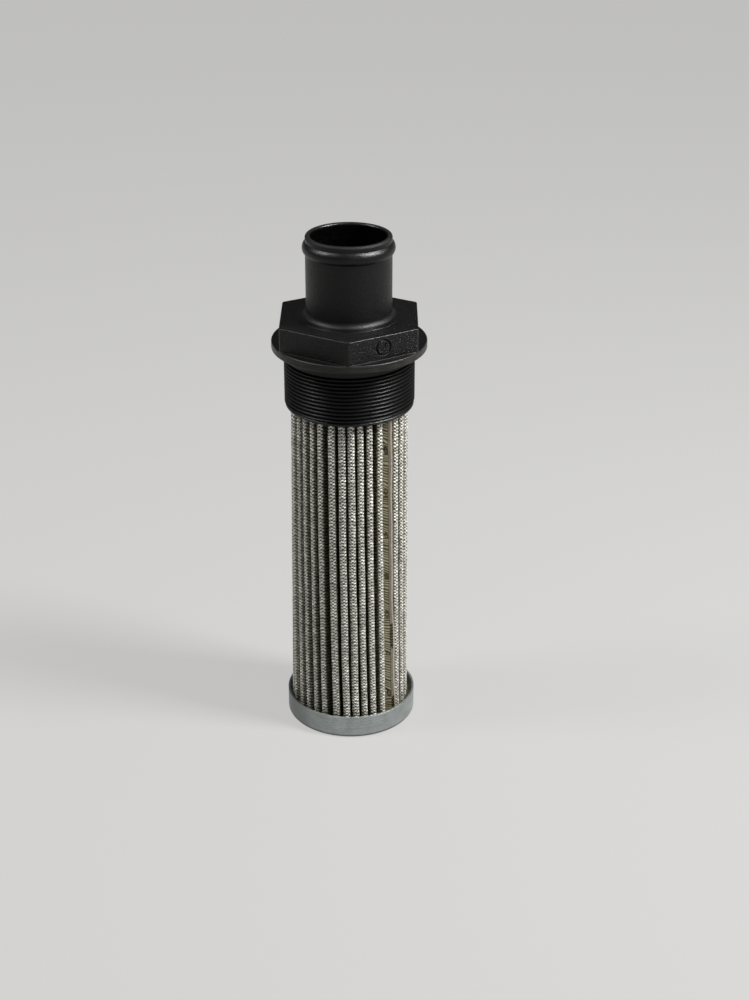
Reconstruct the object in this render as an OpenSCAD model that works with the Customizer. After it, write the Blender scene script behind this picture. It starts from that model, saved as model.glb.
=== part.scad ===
// Hydraulic suction strainer. A moulded head carries a beaded hose tail, a hexagon, a flange and
// a threaded skirt. A pleated wire-cloth element stands on a perforated tube between the head
// and a drawn end cap, and is cast into both with resin.
// Millimetres, +Z up along the axis, standing on the end cap with the hose tail on top.
// Angles are counted from the front, which is -Y, towards +X.

/* [Hose tail] */
// Outside diameter of the hose tail
tail_d = 32.4; // [29:0.2:34]
// Wall of the hose tail, which leaves the bore
tail_wall = 2; // [1.5:0.1:3]
// Height of the hose tail above the hexagon
tail_h = 31.4; // [24:0.2:45]
// How far the retaining bead stands proud of the tail
bead_proud = 1.15; // [0.6:0.05:2]
// Width of the bead along the tail
bead_w = 4.8; // [3.6:0.2:8]
// Middle of the bead below the top rim
bead_drop = 4.7; // [4.5:0.1:9]
// Rounding of the top rim's outer edge
rim_r = 0.9; // [0.2:0.1:1.2]
// Fillet at the foot of the tail
foot_r = 2; // [1:0.1:3]
// Width of the low step that runs round the fillet
foot_step_w = 0.8; // [0.4:0.1:1.5]
// Height of that step above the hexagon
foot_step_h = 0.3; // [0.1:0.05:0.6]

/* [Hexagon and flange] */
// Width of the hexagon across its flats
hex_af = 51.5; // [48:0.5:54]
// Height of the hexagon
hex_h = 9.1; // [7:0.1:14]
// Rounding of the hexagon's corners
hex_corner_r = 1.5; // [0.5:0.1:3]
// How far the flange stands out beyond the thread
flange_lip = 4.6; // [3:0.1:8]
// Thickness of the flange
flange_t = 3.1; // [2:0.1:5]
// Rounding of the flange's edges
flange_edge_r = 0.5; // [0.2:0.1:0.9]
// Diameter of the round mould mark on one flat
mark_d = 6.6; // [4:0.2:8]
// Width of the mark's ring
mark_ring_w = 0.7; // [0.4:0.1:1.2]
// Depth of the mark's ring
mark_depth = 0.25; // [0.1:0.05:0.5]

/* [Threaded skirt] */
// Major diameter of the thread
thread_d = 49.8; // [47:0.1:53]
// Pitch of the thread
thread_pitch = 1.5; // [1:0.5:2]
// Length of the skirt below the flange
skirt_len = 23.1; // [19:0.1:30]
// Width of the plain neck under the flange
neck_w = 3.8; // [1.5:0.1:5]
// Plain land below the last ridge
land_w = 0.4; // [0.4:0.1:2]
// How far the land lies below the thread's crests
land_drop = 0.3; // [0.1:0.05:0.4]
// Chamfer at the end of the skirt
lead_chamfer = 0.8; // [0.4:0.1:1.2]
// Wall left between the thread's roots and the pocket
skirt_wall = 1.1; // [0.8:0.1:1.6]
// Depth of the pocket that takes the element
pocket_depth = 14; // [10:0.5:17]

/* [Pleated element] */
// Length of the element that shows between the end cap and the skirt
free_len = 126.4; // [60:0.2:200]
// Number of pleats, with the seam as one of them
pleat_count = 34; // [26:1:38]
// Thickness of the folded wire cloth
mesh_t = 0.5; // [0.3:0.05:0.7]
// Gap between neighbouring pleat tips
tip_gap = 0.9; // [0.6:0.1:1.5]
// Gap between neighbouring inner folds
fold_gap = 1; // [0.6:0.1:1.3]
// Clearance between the pleats and the pocket's wall
pocket_gap = 0.4; // [0.2:0.1:0.8]
// Clearance between the pleats and the perforated tube
tube_gap = 0.3; // [0.2:0.1:0.6]
// Angle of the seam from the front
seam_angle = 46; // [0:1:359]
// Thickness of the strip folded over the seam
seam_t = 0.3; // [0.25:0.05:0.5]
// Length of each leg of the seam strip
seam_leg = 4; // [2:0.1:4.2]

/* [Perforated tube] */
// Wall of the perforated tube
tube_wall = 0.8; // [0.5:0.1:1]
// How far the tube's wall stands outside the bore
tube_step = 0.3; // [0.1:0.05:0.5]
// Diameter of the perforations
hole_d = 6; // [3:0.5:7]
// Perforations in one row, an even number
holes_round = 8; // [4:2:8]
// Distance between rows of perforations
hole_pitch = 10; // [9:0.5:20]

/* [End cap] */
// Height of the end cap
cap_h = 9.4; // [7:0.2:16]
// Sheet thickness of the end cap
cap_t = 0.8; // [0.5:0.1:1.2]
// Clearance between the pleats and the cap's wall
cap_gap = 2.6; // [1:0.1:4]
// Outside radius of the bend at the cap's foot
cap_bend_r = 1.8; // [1.3:0.1:2.2]
// How far the resin lies below the cap's rim
cap_resin_drop = 2.6; // [1:0.1:3.5]

/* [Resin] */
// Resin between each end of the element and what it stands in
resin_bed = 1.2; // [1:0.1:2]
// How far the resin in the head lies inside the skirt's end
head_resin_drop = 3; // [1:0.1:6]

/* [Hidden] */
$fn = 96;
// Overlap that carries a cut clear of the face it starts from
cut = 1;

// Head, from the bore outwards
tail_r = tail_d / 2;
bore_r = tail_r - tail_wall;
bead_arc_r = (pow(bead_w / 2, 2) + pow(bead_proud, 2)) / (2 * bead_proud);
flange_r = thread_d / 2 + flange_lip;
hex_r = hex_af / 2;

// Thread form: a metric profile with flats at crest and root
crest_r = thread_d / 2;
ridge_depth = 0.613 * thread_pitch;
root_r = crest_r - ridge_depth;
crest_w = thread_pitch / 8;
flank_w = ridge_depth * tan(30);
land_r = crest_r - land_drop;
ridge_count = floor((skirt_len - neck_w - land_w - lead_chamfer) / thread_pitch);

// Element, from the tube outwards
tube_ir = bore_r + tube_step;
tube_r = tube_ir + tube_wall;
pleat_ir = tube_r + tube_gap;
pocket_r = root_r - skirt_wall;
pleat_r = pocket_r - pocket_gap;
pleat_step = 360 / pleat_count;
half_step = pleat_step / 2;
tip_r = (pleat_r * sin(half_step) - tip_gap / 2) / (1 + sin(half_step));
fold_r = (pleat_ir * sin(half_step) - fold_gap / 2) / (1 - sin(half_step));
// The seam's two layers of cloth lie back to back under the strip
seam_tip_r = mesh_t * 1.1;
fold_mid_r = fold_r - mesh_t / 2;
fold_centre_r = pleat_ir + fold_r;
tip_steps = 6;
fold_steps = 4;

// End cap
cap_ir = pleat_r + cap_gap;
cap_r = cap_ir + cap_t;
cap_inner_bend_r = min(cap_bend_r - cap_t, resin_bed);

// Heights above the base
element_z = cap_t + resin_bed;
cap_resin_z = cap_h - cap_resin_drop;
skirt_z = cap_h + free_len;
head_resin_z = skirt_z + head_resin_drop;
pocket_z = skirt_z + pocket_depth;
element_top_z = pocket_z - resin_bed;
flange_z = skirt_z + skirt_len;
hex_z = flange_z + flange_t;
tail_z = hex_z + hex_h;
top_z = tail_z + tail_h;

// A point at radius r and angle a
function polar(r, a) = [r * sin(a), -r * cos(a)];

// Pleat 0 is the seam, and the others follow it round
function pleat_angle(k) = seam_angle + k * pleat_step;
function is_seam(k) = k % pleat_count == 0;
function tip_face_r(k) = is_seam(k) ? seam_tip_r : tip_r;
function tip_mid_r(k) = tip_face_r(k) - mesh_t / 2;
function tip_centre_r(k) = pleat_r - tip_face_r(k) - (is_seam(k) ? seam_t : 0);

// Direction, seen from the middle of tip k, at which the tip's arc runs into the straight flank:
// the flank is the inner tangent of the tip's circle and the next fold's circle
function flank_dir(k) =
    let (dx = fold_centre_r * cos(half_step) - tip_centre_r(k), dy = fold_centre_r * sin(half_step))
    atan2(dy, dx) - acos((tip_mid_r(k) + fold_mid_r) / norm([dx, dy]));

// Arc round the tip of pleat k
function tip_arc(k, r) =
    let (c = polar(tip_centre_r(k), pleat_angle(k)), reach = flank_dir(k))
    [for (i = [0 : tip_steps]) c + polar(r, pleat_angle(k) + reach * (2 * i / tip_steps - 1))];

// Arc round the inner fold that joins pleat k to pleat k + 1
function fold_arc(k, r) =
    let (
        mid = pleat_angle(k) + half_step,
        c = polar(fold_centre_r, mid),
        from = 180 + flank_dir(k) - half_step,
        to = 180 - flank_dir(k + 1) + half_step
    )
    [for (i = [0 : fold_steps]) c + polar(r, mid + from + (to - from) * i / fold_steps)];

// One face of the folded cloth, half its thickness to the outside (1) or the inside (-1)
function cloth_face(side) =
    [for (k = [0 : pleat_count - 1]) each concat(
        tip_arc(k, tip_mid_r(k) + side * mesh_t / 2),
        fold_arc(k, fold_mid_r - side * mesh_t / 2)
    )];

// Section of the pleated cloth, a closed ring of folds
module cloth_section() {
    outside = cloth_face(1);
    inside = cloth_face(-1);
    count = len(outside);
    polygon(
        concat(outside, inside),
        [[for (i = [0 : count - 1]) i], [for (i = [0 : count - 1]) count + i]]
    );
}

// Rectangle from the axis out to r, with its outer corners rounded at the bottom and the top
module disc_section(r, h, bottom_round, top_round) {
    square([r - max(bottom_round, top_round), h]);
    translate([0, bottom_round]) square([r, h - bottom_round - top_round]);
    if (bottom_round > 0) translate([r - bottom_round, bottom_round]) circle(bottom_round);
    if (top_round > 0) translate([r - top_round, h - top_round]) circle(top_round);
}

// Drawn cup of plated sheet that closes the lower end
module end_cap() {
    color("#8c979c") rotate_extrude() intersection() {
        difference() {
            disc_section(cap_r, cap_h, cap_bend_r, 0);
            translate([0, cap_t]) disc_section(cap_ir, cap_h, cap_inner_bend_r, 0);
        }
        square([cap_r, cap_h]);
    }
}

// Cast resin in the cap, poured round the ends of the pleats and the tube
module lower_resin() {
    color("#4a4636") {
        translate([0, 0, cap_t]) rotate_extrude() intersection() {
            disc_section(cap_ir, resin_bed + cap_inner_bend_r, cap_inner_bend_r, 0);
            square([cap_ir, resin_bed]);
        }
        translate([0, 0, element_z]) linear_extrude(cap_resin_z - element_z) difference() {
            circle(cap_ir);
            cloth_section();
            tube_section();
        }
    }
}

// Section of the perforated tube
module tube_section() {
    difference() {
        circle(tube_r);
        circle(tube_ir);
    }
}

// Tube that keeps the pleats from being drawn in, with staggered rows of round holes
module support_tube() {
    rows = floor((head_resin_z - cap_resin_z - hole_pitch) / hole_pitch) + 1;
    first_z = (head_resin_z + cap_resin_z - (rows - 1) * hole_pitch) / 2;
    hole_step = 360 / holes_round;
    color("#9a9a94") difference() {
        translate([0, 0, element_z]) linear_extrude(pocket_z - element_z) tube_section();
        for (row = [0 : rows - 1], i = [0 : holes_round / 2 - 1])
            translate([0, 0, first_z + row * hole_pitch])
                rotate([90, 0, (i + (row % 2) / 2) * hole_step])
                    cylinder(h = 2 * (tube_r + cut), d = hole_d, center = true);
    }
}

// Wire cloth folded into a closed ring of pleats
module pleated_mesh() {
    color("#a8a598") translate([0, 0, element_z])
        linear_extrude(element_top_z - element_z) cloth_section();
}

// Thin strip folded over the two ends of the cloth, which stand together as one narrow pleat
module seam_strip() {
    reach = flank_dir(0);
    c = polar(tip_centre_r(0), pleat_angle(0));
    function leg_end(side, r) =
        c + polar(r, pleat_angle(0) + side * reach) + polar(seam_leg, pleat_angle(0) + side * (reach + 90));
    function face(r) = concat([leg_end(-1, r)], tip_arc(0, r), [leg_end(1, r)]);
    outside = face(seam_tip_r + seam_t);
    inside = face(seam_tip_r);
    color("#7d7056") translate([0, 0, cap_resin_z]) linear_extrude(head_resin_z - cap_resin_z)
        polygon(concat(outside, [for (i = [len(inside) - 1 : -1 : 0]) inside[i]]));
}

// Cast resin in the head's pocket, round the pleats and outside the tube
module upper_resin() {
    color("#4a4636") {
        translate([0, 0, element_top_z]) linear_extrude(resin_bed) difference() {
            circle(pocket_r);
            circle(tube_r);
        }
        translate([0, 0, head_resin_z]) linear_extrude(element_top_z - head_resin_z) difference() {
            circle(pocket_r);
            circle(tube_r);
            cloth_section();
        }
    }
}

// Section of the threaded skirt: neck, ridges at the thread's pitch, land and chamfer
module skirt_section() {
    ridges_z = flange_z - neck_w;
    last_z = ridges_z - ridge_count * thread_pitch;
    polygon(concat(
        [[0, flange_z], [root_r, flange_z]],
        [for (i = [0 : ridge_count - 1]) let (z = ridges_z - i * thread_pitch) each [
            [root_r, z],
            [crest_r, z - flank_w],
            [crest_r, z - flank_w - crest_w],
            [root_r, z - 2 * flank_w - crest_w]
        ]],
        [[root_r, last_z], [land_r, last_z - land_drop], [land_r, skirt_z + lead_chamfer],
            [land_r - lead_chamfer, skirt_z], [0, skirt_z]]
    ));
}

// Section of the round parts of the head, bored through and pocketed for the element
module head_section() {
    step_r = tail_r + foot_r + foot_step_w;
    step_z = tail_z + foot_step_h;
    difference() {
        union() {
            translate([0, hex_z]) disc_section(tail_r, top_z - hex_z, 0, rim_r);
            translate([tail_r + bead_proud - bead_arc_r, top_z - bead_drop]) circle(bead_arc_r);
            translate([0, hex_z]) square([step_r, step_z - hex_z]);
            difference() {
                translate([0, step_z]) square([tail_r + foot_r, foot_r]);
                translate([tail_r + foot_r, step_z + foot_r]) circle(foot_r);
            }
            translate([0, flange_z]) disc_section(flange_r, flange_t, flange_edge_r, flange_edge_r);
            skirt_section();
        }
        translate([0, skirt_z - cut]) square([bore_r, top_z - skirt_z + 2 * cut]);
        translate([0, skirt_z - cut]) square([pocket_r, pocket_depth + cut]);
    }
}

// Outline of the hexagon, with a corner at the front and each corner an arc
module hexagon_section() {
    corner_r = (hex_r - hex_corner_r) / cos(30);
    polygon([for (corner = [0 : 5], turn = [-30 : 10 : 30])
        polar(corner_r, corner * 60) + polar(hex_corner_r, corner * 60 + turn)]);
}

// Moulded head in one piece: hose tail, hexagon, flange and threaded skirt
module head() {
    mark_angle = 30;
    color("#26272a") difference() {
        union() {
            rotate_extrude() head_section();
            translate([0, 0, hex_z]) linear_extrude(hex_h) difference() {
                hexagon_section();
                circle(bore_r);
            }
        }
        rotate([0, 0, mark_angle]) translate([0, -hex_r, hex_z + hex_h / 2]) rotate([90, 0, 0]) difference() {
            cylinder(h = 2 * mark_depth, d = mark_d, center = true);
            cylinder(h = 4 * mark_depth, d = mark_d - 2 * mark_ring_w, center = true);
        }
    }
}

end_cap();
lower_resin();
support_tube();
pleated_mesh();
seam_strip();
upper_resin();
head();
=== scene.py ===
"""Looks of a hydraulic suction strainer, piece by piece in the order in which it is put together.

Sizes are in millimetres and angles in degrees, counted from the front (-Y) towards +X. Heights are
above the end cap's base.
"""
import math

import bpy
import numpy as np
from mathutils import Matrix, Vector


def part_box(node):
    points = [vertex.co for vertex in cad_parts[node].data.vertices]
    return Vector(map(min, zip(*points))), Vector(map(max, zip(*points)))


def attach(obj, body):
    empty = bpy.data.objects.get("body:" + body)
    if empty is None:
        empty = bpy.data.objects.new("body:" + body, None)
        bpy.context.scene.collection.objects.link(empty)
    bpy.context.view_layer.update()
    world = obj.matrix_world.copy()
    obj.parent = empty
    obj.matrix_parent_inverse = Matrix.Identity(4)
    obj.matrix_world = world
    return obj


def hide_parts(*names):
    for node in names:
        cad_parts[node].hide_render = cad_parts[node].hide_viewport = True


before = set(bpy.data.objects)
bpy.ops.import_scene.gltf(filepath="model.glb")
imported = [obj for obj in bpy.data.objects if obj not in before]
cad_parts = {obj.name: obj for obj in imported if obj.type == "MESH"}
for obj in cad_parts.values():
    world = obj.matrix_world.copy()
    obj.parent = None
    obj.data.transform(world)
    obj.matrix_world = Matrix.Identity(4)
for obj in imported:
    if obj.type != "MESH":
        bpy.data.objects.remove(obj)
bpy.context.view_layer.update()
MM = 0.001
random = np.random.default_rng(34)

# Camera
# A long lens in front of the strainer and above its hose tail, looking down on it, with the axis
# slightly left of the middle of an upright picture.
CAMERA_PLACE = (9.6, -632.4, 400.3)
CAMERA_DOWN = 25.84
CAMERA_ROLL = 0.06
FOCAL_LENGTH_PX = 1784
PICTURE_HEIGHT_PX = 1000

camera_data = bpy.data.cameras.new("camera")
camera_data.lens = camera_data.sensor_width * FOCAL_LENGTH_PX / PICTURE_HEIGHT_PX
camera = bpy.data.objects.new("camera", camera_data)
camera.matrix_world = (
    Matrix.Translation([value * MM for value in CAMERA_PLACE])
    @ Matrix.Rotation(math.radians(90 - CAMERA_DOWN), 4, "X")
    @ Matrix.Rotation(math.radians(CAMERA_ROLL), 4, "Z")
)
bpy.context.scene.collection.objects.link(camera)
bpy.context.scene.camera = camera

# End cap
# A shallow cup drawn from thin zinc-plated sheet, bent tightly at its foot and cut off at its rim.
# The lower end of the element stands in it, cast in resin.
CAP_SHEET = 0.8
CAP_BEND = 1.2
CAP_RIM_ROUND = 0.06
# Distance of the rows of points that hold the flat faces flat beside a rounded edge
EDGE_ROW = 0.2
CAP_STEPS = 240
CAP_PALE = (0.47, 0.507, 0.5, 1)
CAP_DARK = (0.155, 0.171, 0.169, 1)
CAP_FOOT_SHADOW = (0.05, 0.054, 0.053, 1)
# Heights between which the painted contact shadow at the foot clears
CAP_FOOT_SHADOW_SPAN = (0.4, 1.7)
# Places across the cap, as shares of its radius, between which the painted shade on its left end clears,
# and the share of the plate's shade left at that end
CAP_LEFT_SHADE_SPAN = (-1.0, -0.3)
CAP_LEFT_SHADE = 0.1
# Stretch of the rings from the drawing, sizes of the clouds and the grain, and the share of each
RING_STRETCH = (0.06, 0.06, 4)
CAP_CLOUD = 6.0
CAP_GRAIN = 0.9
RING_SHARE = 0.45
CLOUD_SHARE = 0.35
GRAIN_SHARE = 0.2
# Roughness of the dark and of the pale places
CAP_SATIN = (0.46, 0.34)
RING_RELIEF = 0.02
cap_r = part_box("end_cap")[1].x / MM
cap_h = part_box("end_cap")[1].z / MM
cap_inner_r = cap_r - CAP_SHEET


def arc(centre, radius, start, end, steps):
    """Points of a circle's arc in the half plane of radius and height, from one angle to the other.
    Angle 0 points away from the axis and 90 upwards."""
    turn = np.radians(np.linspace(start, end, steps + 1))
    return np.stack([centre[0] + radius * np.cos(turn), centre[1] + radius * np.sin(turn)], -1)


def polar(radius, angle):
    """Place at a radius from the axis and an angle from the front, as x and y."""
    turn = np.radians(angle)
    return np.stack(np.broadcast_arrays(radius * np.sin(turn), -radius * np.cos(turn)), -1)


def grid_quads(rows, columns, close_rows=False):
    """Corner numbers of the quads of a grid of points, counted row by row. Its last column joins
    the first, and if its rows are closed, so does its last row."""
    row = np.arange(rows if close_rows else rows - 1)[:, None]
    column = np.arange(columns)[None, :]
    row_after = (row + 1) % rows
    column_after = (column + 1) % columns
    corners = [
        row * columns + column,
        row * columns + column_after,
        row_after * columns + column_after,
        row_after * columns + column,
    ]
    return np.stack(corners, -1).reshape(-1, 4)


def turned(profile, steps):
    """A profile of radii and heights carried once round the axis in even steps. It starts on the
    axis, runs out along the bottom, up the outside and back in to the axis, so that the faces point
    outwards. Both of its ends close in a fan of triangles round one point."""
    radius, height = np.asarray(profile, float)[1:-1].T
    place = polar(radius[:, None], np.arange(steps)[None, :] * 360 / steps)
    level = np.broadcast_to(height[:, None, None], (*place.shape[:2], 1))
    rings = np.concatenate([place, level], -1).reshape(-1, 3)
    points = np.concatenate([rings, [(0, 0, profile[0][1]), (0, 0, profile[-1][1])]])
    column = np.arange(steps)
    column_after = (column + 1) % steps
    last = (len(radius) - 1) * steps
    bottom = np.stack([column_after, column, np.full(steps, len(rings))], -1)
    top = np.stack([last + column, last + column_after, np.full(steps, len(rings) + 1)], -1)
    return points, [grid_quads(len(radius), steps), bottom, top]


def add_piece(name, points, faces, material, slot, sharp=40):
    """A mesh piece from points in millimetres and arrays of corner numbers, shaded smooth but for edges
    sharper than the given angle, with its material and the body that it rides on. The slot is not used."""
    mesh = bpy.data.meshes.new(name)
    corners = np.concatenate([array.ravel() for array in faces])
    sizes = np.concatenate([np.full(len(array), array.shape[1]) for array in faces])
    mesh.vertices.add(len(points))
    mesh.vertices.foreach_set("co", (np.asarray(points) * MM).ravel())
    mesh.loops.add(len(corners))
    mesh.loops.foreach_set("vertex_index", corners)
    mesh.polygons.add(len(sizes))
    mesh.polygons.foreach_set("loop_start", np.cumsum(sizes) - sizes)
    mesh.update(calc_edges=True)
    mesh.shade_smooth()
    mesh.set_sharp_from_angle(angle=math.radians(sharp))
    mesh.materials.append(material)
    piece = bpy.data.objects.new(name, mesh)
    bpy.context.scene.collection.objects.link(piece)
    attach(piece, "root")
    return piece


def new_material(name):
    """A material with its node tree and the Principled shader that ends it."""
    material = bpy.data.materials.new(name)
    material.use_nodes = True
    return material, material.node_tree, material.node_tree.nodes["Principled BSDF"]


def feed(tree, socket, value):
    """Links a socket to another node's output, or sets the socket's own value."""
    if isinstance(value, bpy.types.NodeSocket):
        tree.links.new(value, socket)
    else:
        socket.default_value = value


def feed_all(tree, node, values):
    """Feeds inputs of a node by name or number."""
    for key, value in dict(values).items():
        feed(tree, node.inputs[key], value)


def add_node(tree, kind, values=(), **settings):
    """A node of that kind with its settings, and its inputs fed by name or number."""
    node = tree.nodes.new(kind)
    for key, value in settings.items():
        setattr(node, key, value)
    feed_all(tree, node, values)
    return node


def parts(tree, vector):
    """Outputs for the x, y and z of a vector."""
    return add_node(tree, "ShaderNodeSeparateXYZ", {0: vector}).outputs


def calculate(tree, operation, *values):
    """Output of a Math node on the given numbers or sockets."""
    return add_node(tree, "ShaderNodeMath", enumerate(values), operation=operation).outputs[0]


def ramp(tree, value, low, high, low_out=0.0, high_out=1.0):
    """A value carried from one range to another along a smooth step."""
    values = enumerate((value, low, high, low_out, high_out))
    return add_node(tree, "ShaderNodeMapRange", values, interpolation_type="SMOOTHSTEP").outputs[0]


def blend(tree, factor, first, second):
    """Two colours mixed: the first at factor 0, the second at 1."""
    values = {0: factor, 6: first, 7: second}
    return add_node(tree, "ShaderNodeMix", values, data_type="RGBA").outputs[2]


def relief(tree, height, distance, strength=1.0):
    """Normal of a bump whose height of 1 stands that many millimetres proud."""
    values = {"Height": height, "Distance": distance * MM, "Strength": strength}
    return add_node(tree, "ShaderNodeBump", values).outputs[0]


def object_place(tree, stretch=(1, 1, 1)):
    """Object coordinates in millimetres, stretched along each axis."""
    place = add_node(tree, "ShaderNodeTexCoord").outputs["Object"]
    scale = [value / MM for value in stretch]
    return add_node(tree, "ShaderNodeMapping", {"Vector": place, "Scale": scale}).outputs[0]


def make_mottle_group():
    """Shader group for blotches: noise of a given size in millimetres, spread by a smooth step, so
    that 0 and 1 are the two shades of a surface. A higher contrast makes the blotches harder."""
    group = bpy.data.node_groups.new("mottle", "ShaderNodeTree")
    group.interface.new_socket("Place", in_out="INPUT", socket_type="NodeSocketVector")
    group.interface.new_socket("Size", in_out="INPUT", socket_type="NodeSocketFloat")
    group.interface.new_socket("Contrast", in_out="INPUT", socket_type="NodeSocketFloat")
    group.interface.new_socket("Shade", in_out="OUTPUT", socket_type="NodeSocketFloat")
    given = group.nodes.new("NodeGroupInput").outputs
    result = group.nodes.new("NodeGroupOutput").inputs
    frequency = calculate(group, "DIVIDE", 1.0, given["Size"])
    values = {"Vector": given["Place"], "Scale": frequency, "Detail": 4.0, "Roughness": 0.6}
    noise = add_node(group, "ShaderNodeTexNoise", values).outputs[0]
    half = calculate(group, "DIVIDE", 0.5, given["Contrast"])
    low = calculate(group, "SUBTRACT", 0.5, half)
    high = calculate(group, "ADD", 0.5, half)
    feed(group, result["Shade"], ramp(group, noise, low, high))
    return group


mottle_group = make_mottle_group()


def mottle(tree, place, size, contrast=2.0):
    """Blotches of that size in millimetres, from 0 to 1."""
    values = {"Place": place, "Size": size, "Contrast": contrast}
    return add_node(tree, "ShaderNodeGroup", values, node_tree=mottle_group).outputs["Shade"]


def plated_steel():
    """Zinc plate on drawn steel: satin, faintly blue and grained, with fine rings from the drawing. Its
    left end is darkened, and so roughened, as painted shade, and its foot is darkened as a painted
    contact shadow."""
    material, tree, shader = new_material("plated_steel")
    rings = mottle(tree, object_place(tree, RING_STRETCH), 1.0, contrast=1.6)
    clouds = mottle(tree, object_place(tree), CAP_CLOUD, contrast=1.4)
    grain = mottle(tree, object_place(tree), CAP_GRAIN, contrast=1.6)
    flecks = calculate(tree, "MULTIPLY", clouds, CLOUD_SHARE)
    flecks = calculate(tree, "MULTIPLY_ADD", grain, GRAIN_SHARE, flecks)
    flecks = calculate(tree, "MULTIPLY_ADD", rings, RING_SHARE, flecks)
    place = parts(tree, object_place(tree))
    # Painted shade: the plate is darker, and so rougher, towards its left end
    left_shade = ramp(tree, place[0], *(share * cap_r for share in CAP_LEFT_SHADE_SPAN), CAP_LEFT_SHADE, 1.0)
    shade = calculate(tree, "MULTIPLY", flecks, left_shade)
    plate = blend(tree, shade, CAP_DARK, CAP_PALE)
    # The base colour carries a painted contact shadow at the foot, where the cap stands on the floor
    feed_all(tree, shader, {
        "Base Color": blend(tree, ramp(tree, place[2], *CAP_FOOT_SHADOW_SPAN), CAP_FOOT_SHADOW, plate),
        "Metallic": 0.85,
        "Roughness": ramp(tree, shade, 0.0, 1.0, *CAP_SATIN),
        "Normal": relief(tree, rings, RING_RELIEF, strength=0.6),
    })
    return material


cap_profile = np.concatenate([
    [(0, 0), (cap_r / 2, 0), (cap_r - CAP_BEND - EDGE_ROW, 0)],
    arc((cap_r - CAP_BEND, CAP_BEND), CAP_BEND, -90, 0, 8),
    [(cap_r, CAP_BEND + EDGE_ROW), (cap_r, cap_h - CAP_RIM_ROUND - EDGE_ROW)],
    arc((cap_r - CAP_RIM_ROUND, cap_h - CAP_RIM_ROUND), CAP_RIM_ROUND, 0, 90, 4),
    arc((cap_inner_r + CAP_RIM_ROUND, cap_h - CAP_RIM_ROUND), CAP_RIM_ROUND, 90, 180, 4),
    [(cap_inner_r, cap_h - CAP_RIM_ROUND - EDGE_ROW), (cap_inner_r, CAP_BEND + EDGE_ROW)],
    arc((cap_r - CAP_BEND, CAP_BEND), CAP_BEND - CAP_SHEET, 0, -90, 6),
    [(cap_r / 2, CAP_SHEET), (0, CAP_SHEET)],
])
end_cap = add_piece("end_cap_cup", *turned(cap_profile, CAP_STEPS), plated_steel(), "plated_steel")
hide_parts("end_cap")

# Resin in the cap
# Dark casting resin, poured round the ends of the pleats and the tube. It climbs a little at the
# cap's wall, where it shows in the gap inside the rim.
RESIN_CLIMB = 0.7
RESIN_CLIMB_WIDTH = 0.8
RESIN_EDGE = 2.6
RESIN_DARK = (0.02, 0.019, 0.01, 1)
RESIN_PALE = (0.095, 0.089, 0.042, 1)
# Sizes of the resin's clouds and ripples, height of the ripples, and roughness from dark to pale
RESIN_CLOUD = 3.0
RESIN_RIPPLE = 1.2
RESIN_RELIEF = 0.15
RESIN_GLOSS = (0.28, 0.5)
resin_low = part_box("lower_resin")[0].z / MM
resin_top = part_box("lower_resin")[1].z / MM


def cast_resin():
    """Olive-brown resin, glossy where it has set smooth."""
    material, tree, shader = new_material("cast_resin")
    clouds = mottle(tree, object_place(tree), RESIN_CLOUD)
    ripples = mottle(tree, object_place(tree), RESIN_RIPPLE, contrast=1.0)
    feed_all(tree, shader, {
        "Base Color": blend(tree, clouds, RESIN_DARK, RESIN_PALE),
        "Roughness": ramp(tree, clouds, 0.0, 1.0, *RESIN_GLOSS),
        "Normal": relief(tree, ripples, RESIN_RELIEF),
    })
    return material


resin_material = cast_resin()
resin_r = np.concatenate([
    np.linspace(0, cap_inner_r - RESIN_EDGE, 8),
    np.linspace(cap_inner_r - RESIN_EDGE, cap_inner_r, 15)[1:],
])
resin_level = resin_top + RESIN_CLIMB * np.exp((resin_r - cap_inner_r) / RESIN_CLIMB_WIDTH)
resin_profile = np.concatenate([
    [(0, resin_low), (cap_inner_r - CAP_BEND, resin_low), (cap_inner_r, resin_low + CAP_BEND)],
    np.stack([resin_r, resin_level], -1)[::-1],
])
lower_resin = add_piece("cap_resin", *turned(resin_profile, CAP_STEPS), resin_material, "cast_resin")
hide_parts("lower_resin")

# Support tube
# A rolled tube of perforated sheet steel, which keeps the pleats from being drawn in. It is seen
# down the bore, so the solid stays as it is and gets the finish of plain mill steel.
TUBE_DARK = (0.2, 0.2, 0.19, 1)
TUBE_PALE = (0.42, 0.41, 0.39, 1)
STREAK_STRETCH = (2, 2, 0.08)
TUBE_SATIN = (0.5, 0.36)
tube_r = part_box("support_tube")[1].x / MM


def tube_steel():
    """Mill-finished steel with faint lengthwise streaks."""
    material, tree, shader = new_material("tube_steel")
    streaks = mottle(tree, object_place(tree, STREAK_STRETCH), 1.0)
    feed_all(tree, shader, {
        "Base Color": blend(tree, streaks, TUBE_DARK, TUBE_PALE),
        "Metallic": 0.9,
        "Roughness": ramp(tree, streaks, 0.0, 1.0, *TUBE_SATIN),
    })
    return material


def dress_node(name, material):
    """Gives a solid of the frame its finish."""
    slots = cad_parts[name].data.materials
    slots.clear()
    slots.append(material)


dress_node("support_tube", tube_steel())

# Pleated wire cloth
# Woven stainless wire, folded into a closed ring of pleats with round tips. It is pressed in at the
# head and spreads a little towards the cap, where the pack leans to the left and is twisted.
PLEATS = 34
SEAM_ANGLE = 45.8
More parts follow.
